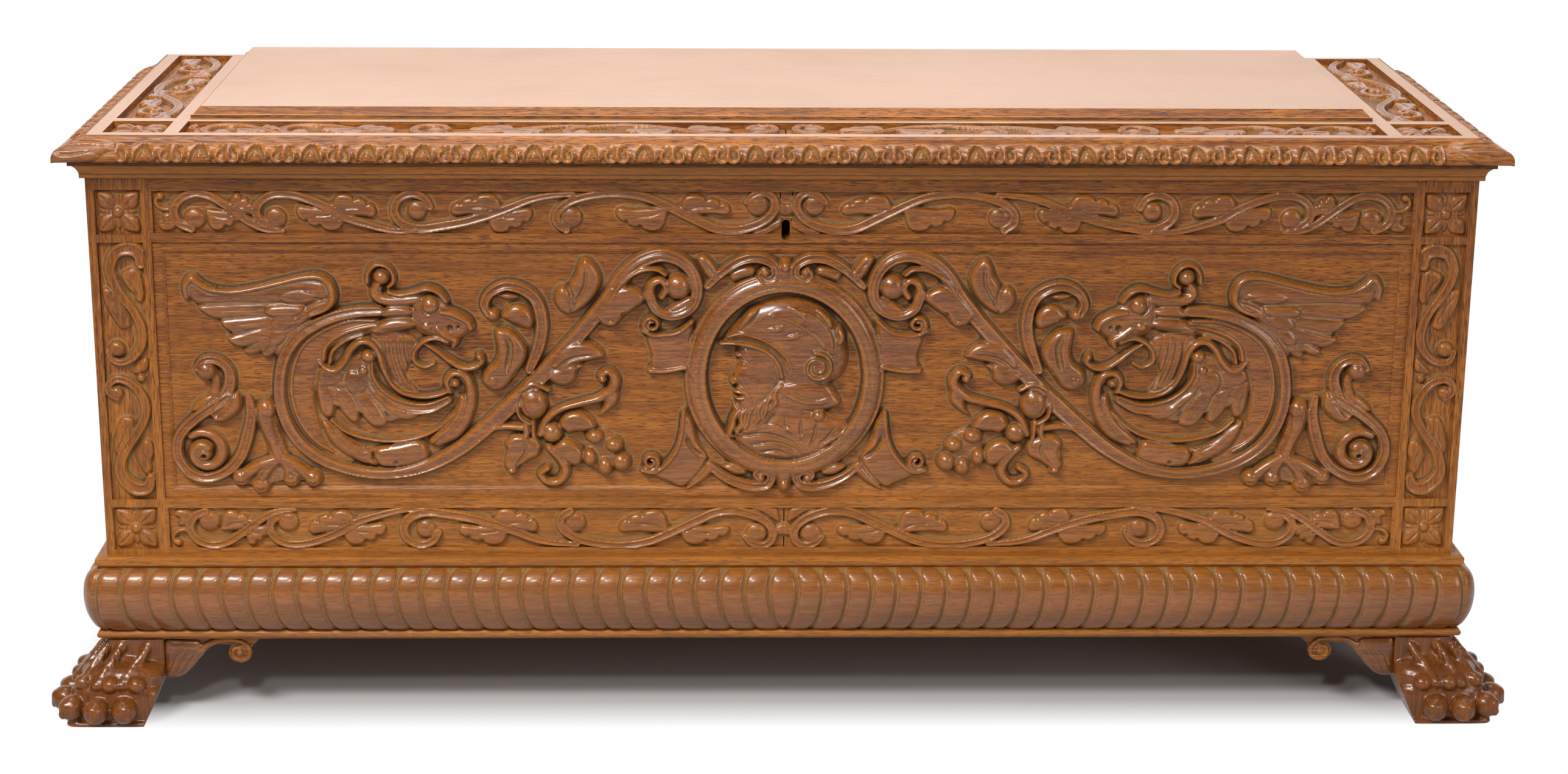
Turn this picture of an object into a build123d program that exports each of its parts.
"""Carved cassone: a framed and panelled chest on four paw feet, with a hinged lid and a chest lock.

Millimetres. X runs along the front, Y from the front face to the back, Z up.
The origin is on the floor, under the middle of the case.
"""

from build123d import *

import os
from math import atan, cos, degrees, radians, sin

os.makedirs("parts", exist_ok=True)

# Case
case_width = 1520.0
case_depth = 500.0
case_top = 645.0
foot_height = 91.0
frame_thickness = 28.0
side_thickness = 24.0

# Front frame
stile_width = 68.0
top_rail_height = 94.0
bottom_rail_height = 166.0
tenon_thickness = 10.0
tenon_length = 30.0
tenon_shoulder = 18.0
groove_depth = 8.0
tongue_thickness = 8.0
tongue_setback = 8.0

# Sunk fields carved into the face of the front frame
field_depth = 5.0
frieze_height = 47.0
frieze_end_margin = 3.0
top_frieze_margin = 10.0
bottom_frieze_margin = 8.0
rosette_size = 50.0
stile_field_margin = 9.0
upper_rosette_margin = 8.0
lower_rosette_margin = 6.0
stile_field_gap = 9.0

# Front panel
panel_thickness = 14.0
panel_sink = 6.0
panel_border_width = 13.0
panel_border_height = 3.0
panel_border_step = 4.0
medallion_width = 194.0
medallion_height = 214.0
medallion_ring_width = 9.0
medallion_ring_height = 12.0
medallion_rise = -5.5
strand_width = 7.0
carving_margin = 0.6

# Side and back frames
side_stile_width = 64.0
side_top_rail_height = 86.0
side_panel_thickness = 14.0
side_panel_sink = 5.0
side_field_margin = 26.0
side_field_rise = 3.0
back_stile_width = 70.0
back_top_rail_height = 80.0
back_bottom_rail_height = 90.0
back_muntin_width = 80.0
back_panel_thickness = 12.0
back_panel_sink = 6.0

# Floor of the case
floor_level = 128.0
floor_thickness = 16.0
floor_board_count = 3
floor_board_gap = 1.0
floor_end_clearance = 1.0
ledger_width = 22.0
corner_block_size = 62.0

# Base moulding
base_height = 99.0
base_fillet_outset = 12.0
base_fillet_height = 9.0
gadroon_outset = 29.0
gadroon_top_outset = 15.0
gadroon_foot_outset = 8.0
gadroon_bottom = 13.0
gadroon_top = 85.0
bead_outset = 14.0
bead_radius = 4.5
base_toe_outset = 5.0

# Cornice under the lid
cornice_height = 22.0
cornice_top_outset = 15.0
cornice_foot_outset = 5.0

# Lid
lid_gap = 0.8
lid_thickness = 25.0
lid_side_setback = 5.0
lid_front_overhang = 5.0
lid_frame_width = 97.0
lid_front_rail_width = 85.0
lid_back_rail_width = 70.0
lid_edge_strip = 15.0
lid_inner_strip = 16.0
lid_field_depth = 8.0
lid_corner_field = 66.0
lid_joint_strip = 8.0
lid_moulding_outset = 32.0
lid_moulding_step = 2.0
lid_moulding_step_height = 6.0
lid_moulding_nose = 4.0
raised_panel_height = 12.0
raised_panel_inset = 10.0
raised_panel_foot = 4.0
core_panel_thickness = 16.0
batten_width = 60.0
batten_thickness = 14.0
batten_spacing = 860.0
batten_end_clearance = 14.0

# Paw feet, measured from the corner of the case
sole_size = 92.0
sole_outset = 54.0
sole_thickness = 8.0
ankle_size = 62.0
ankle_outset = 3.0
toe_radius = 17.0
toe_pitch = 33.0
toe_inset = 2.0
toe_corner_inset = 4.0
knuckle_radius = 13.0
knuckle_level = 50.0
knuckle_setback = 17.0
dowel_radius = 8.0
dowel_length = 50.0
dowel_clearance = 0.05

# Scroll brackets beside the feet
bracket_length = 110.0
bracket_drop = 34.0
bracket_thickness = 24.0
volute_radius = 11.5
volute_inset = 27.0
bracket_arch_height = 10.0

# Hinges
hinge_spacing = 980.0
hinge_width = 80.0
hinge_leaf_thickness = 2.5
hinge_leaf_height = 21.0
hinge_barrel_radius = 4.0
hinge_pin_radius = 2.0
hinge_pin_clearance = 0.05
hinge_knuckles = 5
hinge_knuckle_gap = 0.4
hinge_knuckle_clearance = 0.5
screw_head_radius = 3.2
screw_shank_radius = 1.6
screw_head_height = 1.2
hinge_screw_length = 14.0

# Lock
keyhole_width = 9.2
keyhole_height = 22.0
keyhole_drop = 69.0
lock_width = 84.0
lock_height = 92.0
lock_depth = 16.0
lock_wall = 2.0
lock_top_gap = 3.0
bolt_length = 46.0
bolt_height = 9.0
bolt_thickness = 4.0
bolt_travel = 12.0
bolt_drop = 13.0
bolt_guide_clearance = 0.3
drill_pin_radius = 2.0
staple_width = 14.0
staple_thickness = 4.0
staple_eye = 10.4
staple_eye_margin = 2.0
staple_slot_clearance = 1.5
strike_length = 64.0
strike_width = 18.0
strike_thickness = 2.0
lock_screw_length = 12.0

# Worked out from the sizes above
half_width = case_width / 2
front = -case_depth / 2
back = case_depth / 2
case_bottom = foot_height
inner_half_width = half_width - side_thickness
inner_front = front + frame_thickness
inner_back = back - frame_thickness
rail_half = half_width - stile_width
top_rail_bottom = case_top - top_rail_height
bottom_rail_top = case_bottom + bottom_rail_height
tenon_front = front + (frame_thickness - tenon_thickness) / 2
base_top = case_bottom + base_height
top_frieze_bottom = top_rail_bottom + top_frieze_margin
bottom_frieze_bottom = base_top + bottom_frieze_margin
upper_rosette_bottom = top_rail_bottom + upper_rosette_margin
lower_rosette_bottom = base_top + lower_rosette_margin
medallion_level = (bottom_rail_top + top_rail_bottom) / 2 + medallion_rise
keyhole_middle = case_top - keyhole_drop - keyhole_height / 2
lid_bottom = case_top + lid_gap
lid_top = lid_bottom + lid_thickness
lid_half = half_width - lid_side_setback
lid_front = front - lid_front_overhang
lid_back = back
lid_front_rail_back = lid_front + lid_front_rail_width
lid_field_front = lid_front + lid_edge_strip - 2
lid_opening_half = lid_half - lid_frame_width
hinge_y = back + hinge_barrel_radius
hinge_z = case_top + lid_gap / 2
case_leaf_low = hinge_z - hinge_leaf_height * 1.6
lid_leaf_high = hinge_z + hinge_leaf_height
case_screw_level = (case_leaf_low + case_top) / 2
lid_screw_level = (lid_bottom + lid_leaf_high) / 2
hinge_screw_depth = hinge_screw_length - hinge_leaf_thickness
hinge_middles = (-hinge_spacing / 2, hinge_spacing / 2)
hinge_screw_offsets = (-0.32 * hinge_width, 0.0, 0.32 * hinge_width)
lock_top = case_top - lock_top_gap
lock_bottom = lock_top - lock_height
lock_screw_places = [
    (side * (lock_width / 2 + 5.0), level)
    for side in (-1, 1)
    for level in (lock_bottom + 10.0, lock_top - 10.0)
]
staple_y = inner_front + lock_depth / 2
strike_screw_half = strike_length * 0.38


def block(low, high, mode=Mode.ADD):
    """Adds or cuts the box between two opposite corners in the part being built."""
    size = [h - l for l, h in zip(low, high)]
    middle = [(h + l) / 2 for l, h in zip(low, high)]
    with Locations(tuple(middle)):
        Box(*size, mode=mode)


def drill(places, radius, depth):
    """Cuts round holes at (x, y, z) places in the part being built, going depth each way along Y."""
    for place in places:
        with Locations(Location(place, (90, 0, 0))):
            Cylinder(radius, 2 * depth, mode=Mode.SUBTRACT)


def hinge_screw_places(level):
    """Where the hinge screws enter the wood, at a height."""
    return [(middle + offset, back, level) for middle in hinge_middles for offset in hinge_screw_offsets]


def cut_keyhole(plane, depth):
    """Cuts the keyhole through the part being built, from a plane towards the inside."""
    with BuildSketch(plane) as keyhole:
        with Locations((0, keyhole_middle)):
            SlotOverall(keyhole_height, keyhole_width, rotation=90)
    extrude(keyhole.sketch, amount=-depth, mode=Mode.SUBTRACT)


def write(part, name):
    """Labels a finished piece and writes its file."""
    part.label = name
    export_step(part, f"parts/{name}.step")


def write_group(pieces, name):
    """Writes several loose pieces of one kind as one named group."""
    write(Compound(children=list(pieces)), name)


# ---------------------------------------------------------------- front frame
upper_tenon = (top_rail_bottom + tenon_shoulder, case_top - tenon_shoulder)
lower_tenon = (case_bottom + tenon_shoulder, bottom_rail_top - tenon_shoulder)
groove_front = front + tongue_setback
groove_back = groove_front + tongue_thickness

with BuildPart() as front_stile:
    block((-half_width, front, case_bottom), (-rail_half, inner_front, case_top))
    for low, high in (upper_tenon, lower_tenon):
        block(
            (-rail_half - tenon_length, tenon_front, low),
            (-rail_half, tenon_front + tenon_thickness, high),
            Mode.SUBTRACT,
        )
    block(
        (-rail_half - groove_depth, groove_front, bottom_rail_top - groove_depth),
        (-rail_half, groove_back, top_rail_bottom + groove_depth),
        Mode.SUBTRACT,
    )
    for bottom in (upper_rosette_bottom, lower_rosette_bottom):
        block(
            (-half_width + stile_field_margin, front, bottom),
            (-half_width + stile_field_margin + rosette_size, front + field_depth, bottom + rosette_size),
            Mode.SUBTRACT,
        )
    block(
        (-half_width + stile_field_margin, front, lower_rosette_bottom + rosette_size + stile_field_gap),
        (
            -half_width + stile_field_margin + rosette_size,
            front + field_depth,
            upper_rosette_bottom - stile_field_gap,
        ),
        Mode.SUBTRACT,
    )
write(front_stile.part, "front_stile_left")
write(mirror(front_stile.part, about=Plane.YZ), "front_stile_right")

with BuildPart() as front_top_rail:
    block((-rail_half, front, top_rail_bottom), (rail_half, inner_front, case_top))
    for side in (-1, 1):
        ends = sorted((side * rail_half, side * (rail_half + tenon_length)))
        block(
            (ends[0], tenon_front, upper_tenon[0]),
            (ends[1], tenon_front + tenon_thickness, upper_tenon[1]),
        )
    block(
        (-rail_half, groove_front, top_rail_bottom),
        (rail_half, groove_back, top_rail_bottom + groove_depth),
        Mode.SUBTRACT,
    )
    block(
        (-rail_half + frieze_end_margin, front, top_frieze_bottom),
        (rail_half - frieze_end_margin, front + field_depth, top_frieze_bottom + frieze_height),
        Mode.SUBTRACT,
    )
    cut_keyhole(Plane.XZ.offset(-front), frame_thickness)
    screw_depth = lock_screw_length - lock_wall
    drill([(x, inner_front, z) for x, z in lock_screw_places], screw_shank_radius, screw_depth)
write(front_top_rail.part, "front_top_rail")

with BuildPart() as front_bottom_rail:
    block((-rail_half, front, case_bottom), (rail_half, inner_front, bottom_rail_top))
    for side in (-1, 1):
        ends = sorted((side * rail_half, side * (rail_half + tenon_length)))
        block(
            (ends[0], tenon_front, lower_tenon[0]),
            (ends[1], tenon_front + tenon_thickness, lower_tenon[1]),
        )
    block(
        (-rail_half, groove_front, bottom_rail_top - groove_depth),
        (rail_half, groove_back, bottom_rail_top),
        Mode.SUBTRACT,
    )
    block(
        (-rail_half + frieze_end_margin, front, bottom_frieze_bottom),
        (rail_half - frieze_end_margin, front + field_depth, bottom_frieze_bottom + frieze_height),
        Mode.SUBTRACT,
    )
write(front_bottom_rail.part, "front_bottom_rail")

# ---------------------------------------------------------------- front panel
panel_face = front + panel_sink
panel_plane = Plane.XZ.offset(-panel_face)
border_inner_half = rail_half - panel_border_width
border_low = bottom_rail_top + panel_border_width
border_high = top_rail_bottom - panel_border_width



def strand(points, height, width=strand_width):
    """A band of carving along a smooth line, standing on the panel's ground."""
    with BuildSketch(panel_plane) as form:
        with BuildLine():
            Spline(*[(x, z + medallion_level) for x, z in points])
        trace(line_width=width)
    extrude(form.sketch, amount=height)


def mass(points, height, smooth=True):
    """A leaf, a body or a wing, inside a closed outline."""
    outline = [(x, z + medallion_level) for x, z in points]
    with BuildSketch(panel_plane) as form:
        with BuildLine():
            if smooth:
                Spline(*outline, periodic=True)
            else:
                Polyline(*outline, close=True)
        make_face()
    extrude(form.sketch, amount=height)


def bosses(height, places):
    """Round knobs, each given by its middle and its radius."""
    with BuildSketch(panel_plane) as form:
        for x, z, radius in places:
            with Locations((x, z + medallion_level)):
                Circle(radius)
    extrude(form.sketch, amount=height)


volute_line = [
    (
        -645 + (24 - 2.1 * step) * cos(radians(128 - 54 * step)),
        -88 + (24 - 2.1 * step) * sin(radians(128 - 54 * step)),
    )
    for step in range(9)
]

# The main forms of the carving, left of the medallion, measured from the medallion's middle.
with BuildPart() as panel_carving:
    # Dragon: neck ring, wing, head with its horn and tongue, breast, tail, leg and claws
    strand([(-447, 75), (-495, 69), (-538, 44), (-558, -4), (-551, -56), (-516, -95), (-465, -112)], 8.5, 9)
    mass(
        [(-649, 92), (-604, 88), (-555, 96), (-515, 103), (-506, 92), (-530, 72), (-553, 50), (-563, 32),
         (-577, 30), (-589, 36), (-606, 45), (-614, 61), (-634, 79)],
        6.5,
        smooth=False,
    )
    strand([(-652, 98), (-642, 102), (-605, 95), (-555, 104), (-513, 113), (-499, 98), (-505, 85)], 9, 4)
    mass([(-407, 82), (-393, 93), (-374, 82), (-351, 65), (-354, 52), (-374, 40), (-388, 49), (-404, 56)], 8)
    mass([(-452, 54), (-444, 61), (-424, 66), (-407, 61), (-428, 55)], 10)
    mass([(-440, 73), (-434, 79), (-420, 80), (-411, 76), (-426, 71)], 9)
    strand([(-446, 103), (-444, 91), (-431, 87), (-406, 88)], 8)
    strand([(-384, 29), (-371, 19), (-357, 11), (-344, 11), (-336, 18)], 7.5, 4.5)
    mass([(-514, -3), (-510, -24), (-498, -33), (-474, -40), (-452, -50), (-424, -45), (-440, -26), (-466, -4),
          (-490, 5)], 7)
    mass([(-509, -58), (-501, -76), (-482, -92), (-462, -98), (-461, -88), (-484, -76)], 7)
    mass([(-450, -98), (-434, -102), (-411, -98), (-400, -90), (-409, -79), (-446, -87)], 7)
    strand([(-506, 9), (-486, 18), (-468, 40), (-448, 26), (-434, -9), (-403, -23), (-376, -18)], 8.5, 4)
    strand([(-459, 3), (-452, -15), (-436, -29), (-415, -36), (-394, -36), (-378, -30)], 6.5)
    strand([(-373, -7), (-365, 3), (-349, -13), (-356, -49), (-374, -69)], 7.5, 6)
    strand([(-600, -76), (-622, -110), (-655, -116), (-675, -91), (-660, -55), (-620, -27)], 5.8, 6)
    strand(volute_line, 6.5)
    strand([(-627, -36), (-616, -12), (-613, 3), (-620, 14), (-634, 20), (-645, 15)], 6, 5)
    strand([(-577, -41), (-572, -59), (-566, -79), (-562, -95)], 8, 10)
    mass([(-605, -119), (-598, -109), (-576, -99), (-552, -97), (-537, -106), (-525, -118), (-552, -120),
          (-584, -126)], 6)
    # Vine: the long stem, its hooked shoots, leaves, bud and berries
    strand([(-480, -109), (-410, -108), (-358, -81), (-307, -36), (-259, 13), (-212, 67), (-178, 115),
            (-138, 138), (-102, 119), (-104, 79), (-142, 77)], 6.8, 9)
    strand([(-270, 44), (-269, 65), (-287, 99), (-320, 99), (-330, 80)], 6)
    mass([(-305, 70), (-300, 77), (-290, 79), (-280, 67), (-291, 62)], 8.5)
    mass([(-312, 49), (-296, 41), (-292, 20), (-309, -6), (-328, -6), (-316, 18)], 7)
    mass([(-220, 132), (-207, 113), (-214, 92), (-232, 78), (-233, 103), (-226, 118)], 8)
    mass([(-238, 76), (-250, 88), (-245, 101), (-238, 95)], 9)
    mass([(-208, 70), (-200, 84), (-176, 101), (-161, 93), (-182, 75), (-194, 64)], 8)
    mass([(-257, 12), (-236, 36), (-206, 28), (-230, 20)], 8)
    mass([(-261, 3), (-246, -7), (-234, 0), (-238, 12)], 8)
    strand([(-350, -72), (-332, -63), (-312, -58), (-292, -59)], 6, 4)
    strand([(-264, -49), (-248, -37), (-206, -25), (-190, -8), (-195, 5)], 8.5, 5)
    mass([(-246, -55), (-240, -46), (-228, -43), (-214, -56), (-232, -60)], 8)
    mass([(-306, -77), (-299, -71), (-278, -78), (-278, -90), (-298, -100), (-302, -108), (-308, -101)], 6.5)
    mass([(-252, -81), (-245, -76), (-228, -88), (-230, -98), (-244, -95)], 8)
    strand([(-258, -87), (-244, -109), (-252, -122), (-265, -122), (-271, -115)], 7.5, 6)
    bosses(
        10,
        [(-443, 114, 6.5), (-639, 7, 8), (-575, -38, 8), (-323, -4, 7), (-259, -65, 8), (-211, -69, 7),
         (-190, -79, 7), (-217, -93, 5.5), (-200, -104, 6), (-182, -99, 7)],
    )
    bosses(8.5, [(-607, -119, 6), (-584, -124, 7), (-552, -118, 6), (-527, -120, 6.5), (-322, 71, 5)])
    bosses(11, [(-390, 82, 7), (-279, -31, 10), (-118, 103, 10)])
    # The carving keeps clear of the border's strips, and the right half answers the left.
    block(
        (-border_inner_half + carving_margin, panel_face - 20, border_low + carving_margin),
        (0, panel_face, border_high - carving_margin),
        Mode.INTERSECT,
    )
    mirror(about=Plane.YZ)

with BuildPart() as front_panel:
    block(
        (-rail_half, panel_face, bottom_rail_top),
        (rail_half, panel_face + panel_thickness, top_rail_bottom),
    )
    block(
        (-rail_half - groove_depth, groove_front, bottom_rail_top - groove_depth),
        (rail_half + groove_depth, groove_back, top_rail_bottom + groove_depth),
    )
    # The oval frame of the medallion stands on the ground of the panel.
    with BuildSketch(panel_plane):
        with Locations((0, medallion_level)):
            Ellipse(medallion_width / 2, medallion_height / 2)
            Ellipse(
                medallion_width / 2 - medallion_ring_width,
                medallion_height / 2 - medallion_ring_width,
                mode=Mode.SUBTRACT,
            )
    extrude(amount=medallion_ring_height)
    add(panel_carving.part)
    cut_keyhole(Plane.XZ.offset(-front), frame_thickness)
write(front_panel.part, "front_panel")



def border_strip(horizontal, sign):
    """One mitred strip of the moulding round the front panel, in the panel's sink."""
    if horizontal:
        outer = top_rail_bottom if sign > 0 else bottom_rail_top
        inner = border_high if sign > 0 else border_low
        corners = [
            (-rail_half, outer),
            (rail_half, outer),
            (border_inner_half, inner),
            (-border_inner_half, inner),
        ]
    else:
        outer, inner = sign * rail_half, sign * border_inner_half
        corners = [
            (outer, bottom_rail_top),
            (outer, top_rail_bottom),
            (inner, border_high),
            (inner, border_low),
        ]
    with BuildPart() as strip:
        with BuildSketch(panel_plane):
            with BuildLine():
                Polyline(*corners, close=True)
            make_face()
        extrude(amount=panel_border_height)
        inner_edge = strip.edges().filter_by(Axis.X if horizontal else Axis.Z)
        face_edges = inner_edge.group_by(Axis.Y)[0]
        along = Axis.Z if horizontal else Axis.X
        chosen = face_edges.sort_by(along)[0 if sign > 0 else -1]
        chamfer(chosen, panel_border_height * 0.6, panel_border_step * 0.9)
    return strip.part


border_strips = [border_strip(horizontal, sign) for horizontal in (True, False) for sign in (1, -1)]
write_group(border_strips, "panel_border")

# ---------------------------------------------------------------- sides
side_top_rail_bottom = case_top - side_top_rail_height
side_stile_front = inner_front + side_stile_width
side_stile_back = inner_back - side_stile_width
side_groove_out = -half_width + tongue_setback
side_groove_in = side_groove_out + tongue_thickness
side_tenon_out = -half_width + (side_thickness - tenon_thickness) / 2
side_upper_tenon = (side_top_rail_bottom + tenon_shoulder, case_top - tenon_shoulder)


def side_stile(low, high, joint):
    """An upright of the left side frame between two Y values; joint is its edge beside the rails."""
    inward = groove_depth if joint == low else -groove_depth
    deep = tenon_length if joint == low else -tenon_length
    with BuildPart() as stile:
        block((-half_width, low, case_bottom), (-inner_half_width, high, case_top))
        groove = sorted((joint, joint + inward))
        block(
            (side_groove_out, groove[0], bottom_rail_top - groove_depth),
            (side_groove_in, groove[1], side_top_rail_bottom + groove_depth),
            Mode.SUBTRACT,
        )
        for tenon in (side_upper_tenon, lower_tenon):
            mortise = sorted((joint, joint + deep))
            block(
                (side_tenon_out, mortise[0], tenon[0]),
                (side_tenon_out + tenon_thickness, mortise[1], tenon[1]),
                Mode.SUBTRACT,
            )
    return stile.part


def side_rail(low, high, tenon, groove):
    """A rail of the left side frame between two heights, with a tenon at each end and a panel groove."""
    with BuildPart() as rail:
        block((-half_width, side_stile_front, low), (-inner_half_width, side_stile_back, high))
        block(
            (side_tenon_out, side_stile_front - tenon_length, tenon[0]),
            (side_tenon_out + tenon_thickness, side_stile_back + tenon_length, tenon[1]),
        )
        block(
            (side_groove_out, side_stile_front, groove[0]),
            (side_groove_in, side_stile_back, groove[1]),
            Mode.SUBTRACT,
        )
    return rail.part


side_pieces = {
    "side_stile_front": side_stile(inner_front, side_stile_front, side_stile_front),
    "side_stile_rear": side_stile(side_stile_back, inner_back, side_stile_back),
    "side_top_rail": side_rail(
        side_top_rail_bottom,
        case_top,
        side_upper_tenon,
        (side_top_rail_bottom, side_top_rail_bottom + groove_depth),
    ),
    "side_bottom_rail": side_rail(
        case_bottom, bottom_rail_top, lower_tenon, (bottom_rail_top - groove_depth, bottom_rail_top)
    ),
}

side_panel_out = -half_width + side_panel_sink
with BuildPart() as side_panel:
    block(
        (side_panel_out, side_stile_front, bottom_rail_top),
        (side_panel_out + side_panel_thickness, side_stile_back, side_top_rail_bottom),
    )
    block(
        (side_groove_out, side_stile_front - groove_depth, bottom_rail_top - groove_depth),
        (side_groove_in, side_stile_back + groove_depth, side_top_rail_bottom + groove_depth),
    )
    block(
        (
            side_panel_out - side_field_rise,
            side_stile_front + side_field_margin,
            bottom_rail_top + side_field_margin,
        ),
        (
            side_panel_out,
            side_stile_back - side_field_margin,
            side_top_rail_bottom - side_field_margin,
        ),
    )
    field_edges = side_panel.faces().sort_by(Axis.X)[0].edges()
    chamfer(field_edges, side_field_rise * 0.7)
side_pieces["side_panel"] = side_panel.part

for name, piece in side_pieces.items():
    write(piece, f"{name}_left")
    write(mirror(piece, about=Plane.YZ), f"{name}_right")

# ---------------------------------------------------------------- back
back_rail_half = half_width - back_stile_width
back_top_rail_bottom = case_top - back_top_rail_height
back_bottom_rail_top = case_bottom + back_bottom_rail_height
back_groove_back = back - back_panel_sink
back_groove_front = back_groove_back - back_panel_thickness
muntin_half = back_muntin_width / 2

with BuildPart() as back_stile:
    block((-half_width, inner_back, case_bottom), (-back_rail_half, back, case_top))
    block(
        (-back_rail_half - groove_depth, back_groove_front, case_bottom + tenon_shoulder),
        (-back_rail_half, back_groove_back, case_top - tenon_shoulder),
        Mode.SUBTRACT,
    )
write(back_stile.part, "back_stile_left")
write(mirror(back_stile.part, about=Plane.YZ), "back_stile_right")


def back_rail(low, high, groove, tenon, screws=()):
    """A rail of the back frame between two heights, with a panel groove and stub tenons in the stiles."""
    with BuildPart() as rail:
        block((-back_rail_half, inner_back, low), (back_rail_half, back, high))
        block(
            (-back_rail_half - groove_depth, back_groove_front, tenon[0]),
            (back_rail_half + groove_depth, back_groove_back, tenon[1]),
        )
        block(
            (-back_rail_half, back_groove_front, groove[0]),
            (back_rail_half, back_groove_back, groove[1]),
            Mode.SUBTRACT,
        )
        drill(screws, screw_shank_radius, hinge_screw_depth)
    return rail.part


write(
    back_rail(
        back_top_rail_bottom,
        case_top,
        (back_top_rail_bottom, back_top_rail_bottom + groove_depth),
        (back_top_rail_bottom + groove_depth, case_top - tenon_shoulder),
        hinge_screw_places(case_screw_level),
    ),
    "back_top_rail",
)
write(
    back_rail(
        case_bottom,
        back_bottom_rail_top,
        (back_bottom_rail_top - groove_depth, back_bottom_rail_top),
        (case_bottom + tenon_shoulder, back_bottom_rail_top - groove_depth),
    ),
    "back_bottom_rail",
)

with BuildPart() as back_muntin:
    block((-muntin_half, inner_back, back_bottom_rail_top), (muntin_half, back, back_top_rail_bottom))
    block(
        (-muntin_half, back_groove_front, back_bottom_rail_top - groove_depth),
        (muntin_half, back_groove_back, back_top_rail_bottom + groove_depth),
    )
    for side in (-1, 1):
        ends = sorted((side * muntin_half, side * (muntin_half - groove_depth)))
        block(
            (ends[0], back_groove_front, back_bottom_rail_top - groove_depth),
            (ends[1], back_groove_back, back_top_rail_bottom + groove_depth),
            Mode.SUBTRACT,
        )
write(back_muntin.part, "back_muntin")

with BuildPart() as back_panel:
    block(
        (-back_rail_half - groove_depth, back_groove_front, back_bottom_rail_top - groove_depth),
        (-muntin_half + groove_depth, back_groove_back, back_top_rail_bottom + groove_depth),
    )
write(back_panel.part, "back_panel_left")
write(mirror(back_panel.part, about=Plane.YZ), "back_panel_right")

# ---------------------------------------------------------------- floor of the case
floor_underside = floor_level - floor_thickness
floor_half = inner_half_width - floor_end_clearance
floor_room = inner_back - inner_front - 2 * floor_end_clearance
floor_board_width = (floor_room - (floor_board_count - 1) * floor_board_gap) / floor_board_count

floor_boards = []
for number in range(floor_board_count):
    board_front = inner_front + floor_end_clearance + number * (floor_board_width + floor_board_gap)
    with BuildPart() as floor_board:
        block(
            (-floor_half, board_front, floor_underside),
            (floor_half, board_front + floor_board_width, floor_level),
        )
    floor_boards.append(floor_board.part)
write_group(floor_boards, "floor_boards")

with BuildPart() as floor_ledgers:
    for low, high in ((inner_front, inner_front + ledger_width), (inner_back - ledger_width, inner_back)):
        block(
            (-inner_half_width + corner_block_size, low, case_bottom),
            (inner_half_width - corner_block_size, high, floor_underside),
        )
    for side in (-1, 1):
        ends = sorted((side * inner_half_width, side * (inner_half_width - ledger_width)))
        block(
            (ends[0], inner_front + corner_block_size, case_bottom),
            (ends[1], inner_back - corner_block_size, floor_underside),
        )
write(floor_ledgers.part, "floor_ledgers")

dowel_place = (
    -inner_half_width + corner_block_size / 3,
    inner_front + corner_block_size / 3,
)


def at_corners(piece):
    """The front-left piece and its three mirror images, by corner."""
    right = mirror(piece, about=Plane.YZ)
    return {
        "front_left": piece,
        "front_right": right,
        "rear_left": mirror(piece, about=Plane.XZ),
        "rear_right": mirror(right, about=Plane.XZ),
    }


with BuildPart() as corner_block:
    block(
        (-inner_half_width, inner_front, case_bottom),
        (-inner_half_width + corner_block_size, inner_front + corner_block_size, floor_underside),
    )
    with Locations((dowel_place[0], dowel_place[1], case_bottom)):
        Cylinder(
            dowel_radius + dowel_clearance,
            dowel_length,
            mode=Mode.SUBTRACT,
        )
write_group(at_corners(corner_block.part).values(), "corner_blocks")

with BuildPart() as foot_dowel:
    with Locations((dowel_place[0], dowel_place[1], foot_height)):
        Cylinder(dowel_radius, 2 * (floor_underside - case_bottom) - 1)
write_group(at_corners(foot_dowel.part).values(), "foot_dowels")

# ---------------------------------------------------------------- mouldings


def moulding_set(name, outline, level, corner_x, corner_y, end_y, reach):
    """Writes front, left and right runs of a moulding, mitred at the front and cut square at the back.

    outline draws a closed section in the active BuildLine: X outwards from the case, Y up from level.
    """
    front_section = Plane(origin=(0, corner_y, level), x_dir=(0, -1, 0), z_dir=(-1, 0, 0))
    side_section = Plane(origin=(-corner_x, corner_y - reach, level), x_dir=(-1, 0, 0), z_dir=(0, 1, 0))
    with BuildPart() as run:
        with BuildSketch(front_section):
            with BuildLine():
                outline()
            make_face()
        extrude(amount=corner_x + reach, both=True)
        split(bisect_by=Plane(origin=(-corner_x, corner_y, 0), z_dir=(1, -1, 0)), keep=Keep.TOP)
        split(bisect_by=Plane(origin=(corner_x, corner_y, 0), z_dir=(-1, -1, 0)), keep=Keep.TOP)
    write(run.part, f"{name}_front")
    with BuildPart() as side_run:
        with BuildSketch(side_section):
            with BuildLine():
                outline()
            make_face()
        extrude(amount=end_y - corner_y + reach)
        split(bisect_by=Plane(origin=(-corner_x, corner_y, 0), z_dir=(-1, 1, 0)), keep=Keep.TOP)
    write(side_run.part, f"{name}_left")
    write(mirror(side_run.part, about=Plane.YZ), f"{name}_right")


bead_low = gadroon_bottom - 1 - 2 * bead_radius
bead_high = gadroon_bottom - 1
fillet_bottom = base_height - base_fillet_height


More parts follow.
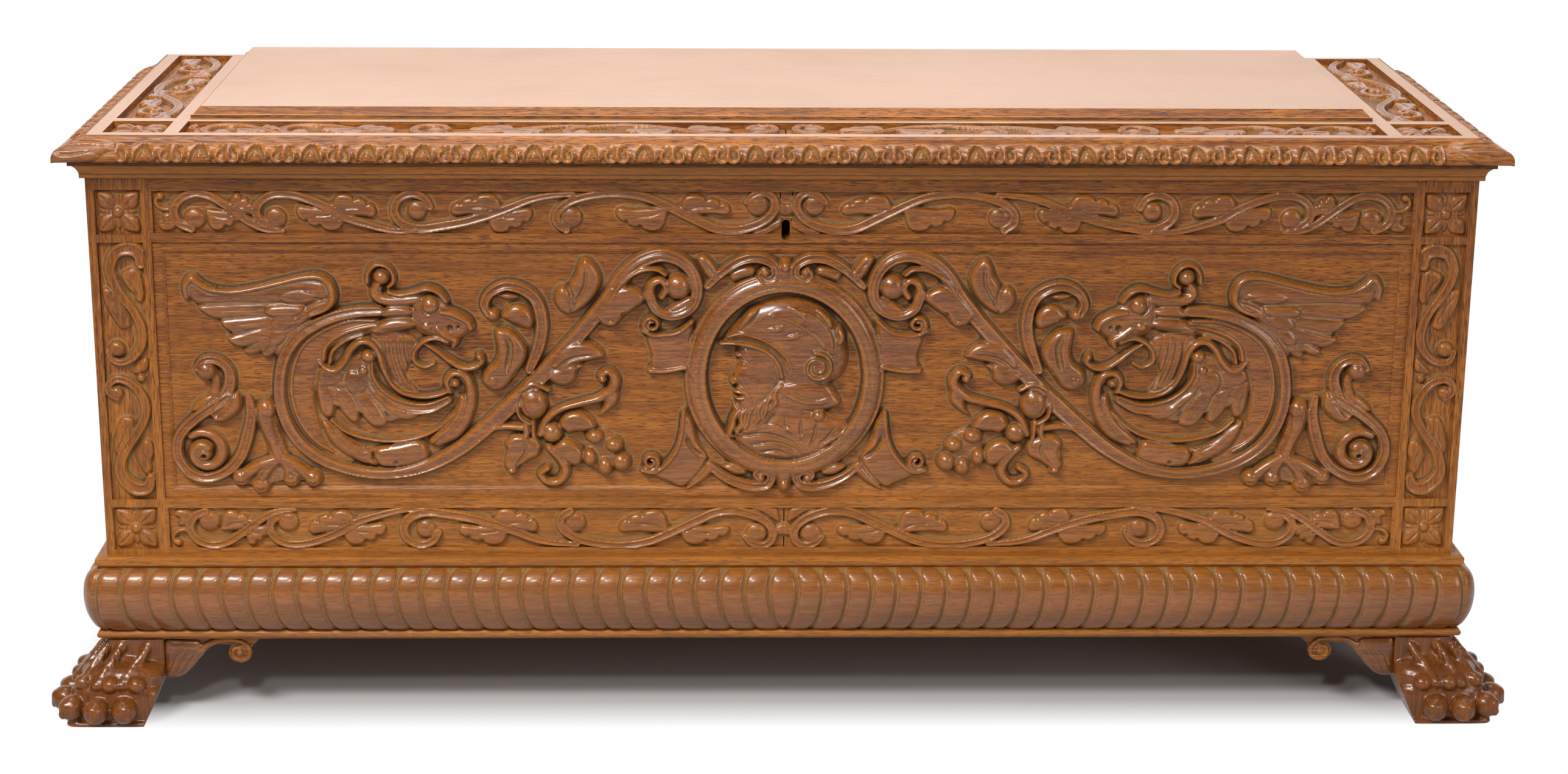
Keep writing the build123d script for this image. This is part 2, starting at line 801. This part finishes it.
def gadroon_outline():
    """Section of the base moulding: bead, swelling gadroon, cove and fillet."""
    Line((0, 0), (base_toe_outset, 0))
    Line((base_toe_outset, 0), (base_toe_outset, bead_low))
    Line((base_toe_outset, bead_low), (bead_outset - bead_radius, bead_low))
    ThreePointArc(
        (bead_outset - bead_radius, bead_low),
        (bead_outset, bead_low + bead_radius),
        (bead_outset - bead_radius, bead_high),
    )
    Line((bead_outset - bead_radius, bead_high), (gadroon_foot_outset, bead_high))
    Line((gadroon_foot_outset, bead_high), (gadroon_foot_outset, gadroon_bottom))
    ThreePointArc(
        (gadroon_foot_outset, gadroon_bottom),
        (gadroon_outset, gadroon_bottom + 0.6 * (gadroon_top - gadroon_bottom)),
        (gadroon_top_outset, gadroon_top),
    )
    Line((gadroon_top_outset, gadroon_top), (base_fillet_outset - 2, fillet_bottom))
    Line((base_fillet_outset - 2, fillet_bottom), (base_fillet_outset, fillet_bottom))
    Line((base_fillet_outset, fillet_bottom), (base_fillet_outset, base_height - 2))
    Line((base_fillet_outset, base_height - 2), (base_fillet_outset - 3, base_height))
    Line((base_fillet_outset - 3, base_height), (0, base_height))
    Line((0, base_height), (0, 0))


mitre_reach = 50.0
moulding_set("base_moulding", gadroon_outline, case_bottom, half_width, front, back, mitre_reach)


def cornice_outline():
    """Section of the cornice: foot fillet, cove and top fillet."""
    cove_foot = (cornice_foot_outset, 0.2 * cornice_height)
    cove_head = (0.85 * cornice_top_outset, 0.7 * cornice_height)
    Line((0, 0), (cornice_foot_outset, 0))
    Line((cornice_foot_outset, 0), cove_foot)
    RadiusArc(cove_foot, cove_head, 0.7 * cornice_height)
    Line(cove_head, (cornice_top_outset, cove_head[1]))
    Line((cornice_top_outset, cove_head[1]), (cornice_top_outset, cornice_height))
    Line((cornice_top_outset, cornice_height), (0, cornice_height))
    Line((0, cornice_height), (0, 0))


cornice_level = case_top - cornice_height
moulding_set("cornice", cornice_outline, cornice_level, half_width, front, back, mitre_reach)

lid_moulding_height = lid_thickness - lid_moulding_step_height


def lid_moulding_outline():
    """Section of the lid moulding: upright nose below, round shoulder, then a cove up to the lid's edge."""
    nose = (lid_moulding_outset, lid_moulding_nose)
    shoulder = (lid_moulding_outset - 9.0, lid_moulding_nose + 6.0)
    head = (lid_moulding_step + 2.0, lid_moulding_height - 2.0)
    Line((0, 0), (lid_moulding_outset - 1.0, 0))
    Line((lid_moulding_outset - 1.0, 0), nose)
    RadiusArc(nose, shoulder, -9.0)
    RadiusArc(shoulder, head, 24.0)
    Line(head, (lid_moulding_step, lid_moulding_height))
    Line((lid_moulding_step, lid_moulding_height), (0, lid_moulding_height))
    Line((0, lid_moulding_height), (0, 0))


moulding_set("lid_moulding", lid_moulding_outline, lid_bottom, lid_half, lid_front, lid_back, mitre_reach)

# ---------------------------------------------------------------- lid
lid_pocket_floor = lid_top - lid_field_depth
lid_tongue_low = lid_bottom + 5.0
lid_tongue_high = lid_tongue_low + tongue_thickness
lid_field_back = lid_front_rail_back - lid_joint_strip
lid_corner_left = -lid_half + lid_edge_strip
lid_corner_right = lid_corner_left + lid_corner_field
back_rail_front = lid_back - lid_back_rail_width
strike_low = (-strike_length / 2, staple_y - strike_width / 2, lid_bottom)
strike_high = (strike_length / 2, staple_y + strike_width / 2, lid_bottom + strike_thickness)

with BuildPart() as lid_front_rail:
    block((-lid_half, lid_front, lid_bottom), (lid_half, lid_front_rail_back, lid_top))
    block(
        (-lid_opening_half, lid_field_front, lid_pocket_floor),
        (lid_opening_half, lid_field_back, lid_top),
        Mode.SUBTRACT,
    )
    for side in (-1, 1):
        square = sorted((side * lid_corner_left, side * lid_corner_right))
        block(
            (square[0], lid_field_front, lid_pocket_floor),
            (square[1], lid_field_back, lid_top),
            Mode.SUBTRACT,
        )
        mortise = sorted((side * (lid_half - lid_edge_strip), side * (lid_opening_half + groove_depth)))
        block(
            (mortise[0], lid_front_rail_back - tenon_length, lid_tongue_low),
            (mortise[1], lid_front_rail_back, lid_tongue_high),
            Mode.SUBTRACT,
        )
    block(
        (-lid_opening_half, lid_front_rail_back - groove_depth, lid_tongue_low),
        (lid_opening_half, lid_front_rail_back, lid_tongue_high),
        Mode.SUBTRACT,
    )
    block(strike_low, strike_high, Mode.SUBTRACT)
    with Locations((-strike_screw_half, staple_y, lid_bottom), (strike_screw_half, staple_y, lid_bottom)):
        Cylinder(screw_shank_radius, 2 * lock_screw_length, mode=Mode.SUBTRACT)
write(lid_front_rail.part, "lid_front_rail")

with BuildPart() as lid_end_rail:
    block((-lid_half, lid_front_rail_back, lid_bottom), (-lid_opening_half, lid_back, lid_top))
    block(
        (-lid_half + lid_edge_strip, lid_front_rail_back - tenon_length, lid_tongue_low),
        (-lid_opening_half - groove_depth, lid_front_rail_back, lid_tongue_high),
    )
    block(
        (lid_corner_left, lid_front_rail_back + lid_joint_strip, lid_pocket_floor),
        (lid_corner_right, lid_back - lid_joint_strip, lid_top),
        Mode.SUBTRACT,
    )
    block(
        (-lid_opening_half - groove_depth, lid_front_rail_back, lid_tongue_low),
        (-lid_opening_half, back_rail_front, lid_tongue_high),
        Mode.SUBTRACT,
    )
    block(
        (-lid_opening_half - tenon_length, back_rail_front + tenon_shoulder, lid_tongue_low),
        (-lid_opening_half, lid_back - tenon_shoulder, lid_tongue_high),
        Mode.SUBTRACT,
    )
write(lid_end_rail.part, "lid_end_rail_left")
write(mirror(lid_end_rail.part, about=Plane.YZ), "lid_end_rail_right")

with BuildPart() as lid_back_rail:
    block((-lid_opening_half, back_rail_front, lid_bottom), (lid_opening_half, lid_back, lid_top))
    block(
        (-lid_opening_half - tenon_length, back_rail_front + tenon_shoulder, lid_tongue_low),
        (lid_opening_half + tenon_length, lid_back - tenon_shoulder, lid_tongue_high),
    )
    block(
        (-lid_opening_half, back_rail_front, lid_tongue_low),
        (lid_opening_half, back_rail_front + groove_depth, lid_tongue_high),
        Mode.SUBTRACT,
    )
    drill(hinge_screw_places(lid_screw_level), screw_shank_radius, hinge_screw_depth)
write(lid_back_rail.part, "lid_back_rail")

with BuildPart() as lid_core_panel:
    block(
        (-lid_opening_half, lid_front_rail_back, lid_top - core_panel_thickness),
        (lid_opening_half, back_rail_front, lid_top),
    )
    block(
        (-lid_opening_half - groove_depth, lid_front_rail_back - groove_depth, lid_tongue_low),
        (lid_opening_half + groove_depth, back_rail_front + groove_depth, lid_tongue_high),
    )
    block(
        (-lid_opening_half, lid_front_rail_back, lid_tongue_low),
        (lid_opening_half, back_rail_front, lid_top - core_panel_thickness + 1),
    )
    # The corners of the tongue stop at the rails' tenons.
    for side in (-1, 1):
        for low, high in (
            (lid_front_rail_back - groove_depth, lid_front_rail_back),
            (back_rail_front, back_rail_front + groove_depth),
        ):
            corner = sorted((side * lid_opening_half, side * (lid_opening_half + groove_depth)))
            block((corner[0], low, lid_tongue_low), (corner[1], high, lid_tongue_high), Mode.SUBTRACT)
write(lid_core_panel.part, "lid_core_panel")

raised_front = lid_field_back + lid_inner_strip
raised_back = lid_back - 4.0
raised_slope = raised_panel_height - raised_panel_foot
raised_step = 2.0

with BuildPart() as raised_panel:
    block(
        (-lid_opening_half, raised_front, lid_top),
        (lid_opening_half, raised_back, lid_top + raised_panel_foot),
    )
    with BuildSketch(Plane.XY.offset(lid_top + raised_panel_foot)):
        with Locations((0, (raised_front + raised_back) / 2)):
            Rectangle(2 * (lid_opening_half - raised_step), raised_back - raised_front - 2 * raised_step)
    extrude(amount=raised_slope, taper=degrees(atan((raised_panel_inset - raised_step) / raised_slope)))
write(raised_panel.part, "lid_raised_panel")

battens = []
for middle in (-batten_spacing / 2, batten_spacing / 2):
    with BuildPart() as batten:
        block(
            (middle - batten_width / 2, inner_front + batten_end_clearance, lid_bottom - batten_thickness),
            (middle + batten_width / 2, inner_back - batten_end_clearance, lid_bottom),
        )
        lower_ends = batten.faces().sort_by(Axis.Z)[0].edges().filter_by(Axis.X)
        chamfer(lower_ends, batten_thickness * 0.6)
    battens.append(batten.part)
write_group(battens, "lid_battens")

# ---------------------------------------------------------------- paw feet
corner_x = -half_width
corner_y = front
sole_low = -sole_outset
sole_middle = sole_low + sole_size / 2
ankle_middle = -ankle_outset + ankle_size / 2
toe_row = sole_low + toe_inset
toe_level = toe_radius + sole_thickness - 2.5
toe_places = [
    (toe_row + 2 * toe_pitch, toe_row),
    (toe_row + toe_pitch, toe_row),
    (sole_low + toe_corner_inset, sole_low + toe_corner_inset),
    (toe_row, toe_row + toe_pitch),
    (toe_row, toe_row + 2 * toe_pitch),
]

with BuildPart() as paw_foot:
    block(
        (corner_x + sole_low, corner_y + sole_low, 0),
        (corner_x + sole_low + sole_size, corner_y + sole_low + sole_size, sole_thickness),
    )
    with BuildSketch(Plane.XY.offset(sole_thickness)):
        with Locations((corner_x + sole_middle, corner_y + sole_middle)):
            Rectangle(sole_size, sole_size)
    with BuildSketch(Plane.XY.offset(foot_height)):
        with Locations((corner_x + ankle_middle, corner_y + ankle_middle)):
            Rectangle(ankle_size, ankle_size)
    loft(ruled=True)
    for across, deep in toe_places:
        with Locations((corner_x + across, corner_y + deep, toe_level)):
            Sphere(toe_radius)
        knuckle = (
            corner_x + across + (knuckle_setback if across < toe_row + toe_pitch else 0),
            corner_y + deep + (knuckle_setback if deep < toe_row + toe_pitch else 0),
            knuckle_level,
        )
        with Locations(knuckle):
            Sphere(knuckle_radius)
    with Locations((dowel_place[0], dowel_place[1], foot_height)):
        Cylinder(dowel_radius + dowel_clearance, dowel_length, mode=Mode.SUBTRACT)
for corner, piece in at_corners(paw_foot.part).items():
    write(piece, f"paw_foot_{corner}")

# ---------------------------------------------------------------- scroll brackets
ankle_inner = ankle_size - ankle_outset
sole_inner = sole_low + sole_size
bracket_end = ankle_inner + bracket_length
volute_middle = (bracket_end - volute_inset, foot_height - bracket_arch_height - volute_radius + 2)


def foot_inner_face(level):
    """How far the inner face of the foot stands from the corner of the case at a height."""
    share = (level - sole_thickness) / (foot_height - sole_thickness)
    return sole_inner + share * (ankle_inner - sole_inner)


def scroll_bracket(plane, inward):
    """A bracket beside a foot, drawn from the corner of the case along the plane's X."""
    root_level = foot_height - bracket_drop
    arch_level = foot_height - bracket_arch_height
    root = (foot_inner_face(root_level), root_level)
    with BuildPart() as bracket:
        with BuildSketch(plane):
            with BuildLine():
                arch_end = (volute_middle[0], arch_level)
                Spline(root, arch_end, tangents=[(1, 0.9), (1, -0.15)])
                Line(arch_end, (volute_middle[0] + volute_radius, volute_middle[1] + 4))
                Line((volute_middle[0] + volute_radius, volute_middle[1] + 4), (bracket_end, foot_height))
                Line((bracket_end, foot_height), (ankle_inner, foot_height))
                Line((ankle_inner, foot_height), root)
            make_face()
            with Locations(volute_middle):
                Circle(volute_radius)
        extrude(amount=inward)
    return bracket.part


front_bracket_plane = Plane(origin=(corner_x, corner_y, 0), x_dir=(1, 0, 0), z_dir=(0, -1, 0))
side_bracket_plane = Plane(origin=(corner_x, corner_y, 0), x_dir=(0, 1, 0), z_dir=(1, 0, 0))
front_bracket = scroll_bracket(front_bracket_plane, -bracket_thickness)
side_bracket = scroll_bracket(side_bracket_plane, bracket_thickness)
write_group([front_bracket, mirror(front_bracket, about=Plane.YZ)], "front_brackets")
write_group(at_corners(side_bracket).values(), "side_brackets")

# ---------------------------------------------------------------- hinges
knuckle_length = hinge_width / hinge_knuckles


def barrel_plane(across):
    """The plane across the hinge line at an X value."""
    return Plane(origin=(across, hinge_y, hinge_z), x_dir=(0, 1, 0), z_dir=(1, 0, 0))


def hinge_leaf(middle, level_low, level_high, own_knuckles):
    """A leaf on the back, between two heights, with its own knuckles of the barrel."""
    with BuildPart() as leaf:
        block(
            (middle - hinge_width / 2, back, level_low),
            (middle + hinge_width / 2, back + hinge_leaf_thickness, level_high),
        )
        for knuckle in range(hinge_knuckles):
            knuckle_start = middle - hinge_width / 2 + knuckle * knuckle_length
            with BuildSketch(barrel_plane(knuckle_start)):
                Circle(hinge_barrel_radius + hinge_knuckle_clearance)
            extrude(amount=knuckle_length, mode=Mode.SUBTRACT)
        for knuckle in own_knuckles:
            knuckle_start = middle - hinge_width / 2 + knuckle * knuckle_length
            barrel_start = knuckle_start + hinge_knuckle_gap / 2
            with BuildSketch(barrel_plane(barrel_start)):
                Circle(hinge_barrel_radius)
            extrude(amount=knuckle_length - hinge_knuckle_gap)
            web = sorted((hinge_z, level_low if level_low < hinge_z - 2 else level_high))
            block(
                (barrel_start, back, max(web[0], hinge_z - 2 * hinge_barrel_radius)),
                (
                    barrel_start + knuckle_length - hinge_knuckle_gap,
                    back + hinge_leaf_thickness,
                    min(web[1], hinge_z + 2 * hinge_barrel_radius),
                ),
            )
        with BuildSketch(barrel_plane(middle - hinge_width / 2 - 1)):
            Circle(hinge_pin_radius + hinge_pin_clearance)
        extrude(amount=hinge_width + 2, mode=Mode.SUBTRACT)
        screw_level = (level_low + level_high) / 2
        drill(hinge_screw_places(screw_level), screw_shank_radius, 2 * hinge_leaf_thickness)
    return leaf.part


def screw_row(middle, level):
    """Three round-headed screws that hold a hinge leaf to the wood in front of it."""
    with BuildPart() as row:
        for offset in hinge_screw_offsets:
            place = (middle + offset, back + hinge_leaf_thickness, level)
            head_plane = Plane(origin=place, x_dir=(1, 0, 0), z_dir=(0, 1, 0))
            with BuildSketch(head_plane):
                Circle(screw_head_radius)
            extrude(amount=screw_head_height)
            with BuildSketch(head_plane):
                Circle(screw_shank_radius)
            extrude(amount=-hinge_screw_length)
    return row.part


hinge_pins = []
for middle in hinge_middles:
    with BuildPart() as hinge_pin:
        with BuildSketch(barrel_plane(middle - hinge_width / 2)):
            Circle(hinge_pin_radius)
        extrude(amount=hinge_width)
    hinge_pins.append(hinge_pin.part)
write_group(hinge_pins, "hinge_pins")
write_group([hinge_leaf(m, case_leaf_low, case_top, (0, 2, 4)) for m in hinge_middles], "hinge_case_leaves")
write_group([hinge_leaf(m, lid_bottom, lid_leaf_high, (1, 3)) for m in hinge_middles], "hinge_lid_leaves")
write_group([screw_row(m, case_screw_level) for m in hinge_middles], "hinge_case_screws")
write_group([screw_row(m, lid_screw_level) for m in hinge_middles], "hinge_lid_screws")

# ---------------------------------------------------------------- lock
bolt_top = lock_top - lock_wall - bolt_drop
bolt_bottom = bolt_top - bolt_height
flange_half = lock_width / 2 + 10.0
bolt_rest_tip = -staple_thickness / 2 - 2.0
cavity_front = inner_front + lock_wall
cavity_back = inner_front + lock_depth - lock_wall

with BuildPart() as lock_case:
    block((-flange_half, inner_front, lock_bottom), (flange_half, inner_front + lock_wall, lock_top))
    block((-lock_width / 2, inner_front, lock_bottom), (lock_width / 2, inner_front + lock_depth, lock_top))
    block(
        (-lock_width / 2 + lock_wall, cavity_front, lock_bottom + lock_wall),
        (lock_width / 2 - lock_wall, cavity_back, lock_top - lock_wall),
        Mode.SUBTRACT,
    )
    # Two ribs on the rear plate carry the bolt above and below.
    guide_start = -lock_width / 2 + lock_wall
    guide_end = bolt_rest_tip - 4.0
    for low, high in (
        (bolt_bottom - bolt_guide_clearance - 3.0, bolt_bottom - bolt_guide_clearance),
        (bolt_top + bolt_guide_clearance, bolt_top + bolt_guide_clearance + 3.0),
    ):
        block((guide_start, cavity_front, low), (guide_end, cavity_back, high))
    cut_keyhole(Plane.XZ.offset(-inner_front), lock_wall)
    staple_slot = (
        staple_thickness / 2 + staple_slot_clearance,
        staple_width / 2 + staple_slot_clearance - 3.0,
    )
    block(
        (-staple_slot[0], staple_y - staple_slot[1], lock_top - lock_wall),
        (staple_slot[0], staple_y + staple_slot[1], lock_top),
        Mode.SUBTRACT,
    )
    drill([(x, inner_front, z) for x, z in lock_screw_places], screw_shank_radius, 2 * lock_wall)
    # The drill pin that the hollow key turns on is riveted to the rear plate.
    with BuildSketch(Plane.XZ.offset(-cavity_front - 2)):
        with Locations((0, keyhole_middle + (keyhole_height - keyhole_width) / 2)):
            Circle(drill_pin_radius)
    extrude(amount=-(cavity_back - cavity_front - 2))
write(lock_case.part, "lock_case")

with BuildPart() as lock_bolt:
    block(
        (bolt_rest_tip - bolt_length + bolt_travel, staple_y - bolt_thickness / 2, bolt_bottom),
        (bolt_rest_tip, staple_y + bolt_thickness / 2, bolt_top),
    )
write(lock_bolt.part, "lock_bolt")

with BuildPart() as lock_screws:
    for across, level in lock_screw_places:
        place = (across, inner_front + lock_wall, level)
        head_plane = Plane(origin=place, x_dir=(1, 0, 0), z_dir=(0, 1, 0))
        with BuildSketch(head_plane):
            Circle(screw_head_radius)
        extrude(amount=screw_head_height)
        with BuildSketch(head_plane):
            Circle(screw_shank_radius)
        extrude(amount=-lock_screw_length)
write(lock_screws.part, "lock_screws")

eye_low = bolt_bottom - (staple_eye - bolt_height) / 2
staple_half = staple_width / 2 - 3.0
with BuildPart() as strike_plate:
    block(strike_low, strike_high)
    block(
        (-staple_thickness / 2, staple_y - staple_half, eye_low - staple_eye_margin),
        (staple_thickness / 2, staple_y + staple_half, lid_bottom),
    )
    block(
        (-staple_thickness / 2, staple_y - staple_half + staple_eye_margin - 0.6, eye_low),
        (staple_thickness / 2, staple_y + staple_half - staple_eye_margin + 0.6, eye_low + staple_eye),
        Mode.SUBTRACT,
    )
    with Locations((-strike_screw_half, staple_y, lid_bottom), (strike_screw_half, staple_y, lid_bottom)):
        Cylinder(screw_shank_radius, 2 * strike_thickness + 1, mode=Mode.SUBTRACT)
write(strike_plate.part, "strike_plate")

with BuildPart() as strike_screws:
    with BuildSketch(Plane.XY.offset(lid_bottom)):
        with Locations((-strike_screw_half, staple_y), (strike_screw_half, staple_y)):
            Circle(screw_shank_radius)
    extrude(amount=lock_screw_length)
write(strike_screws.part, "strike_screws")
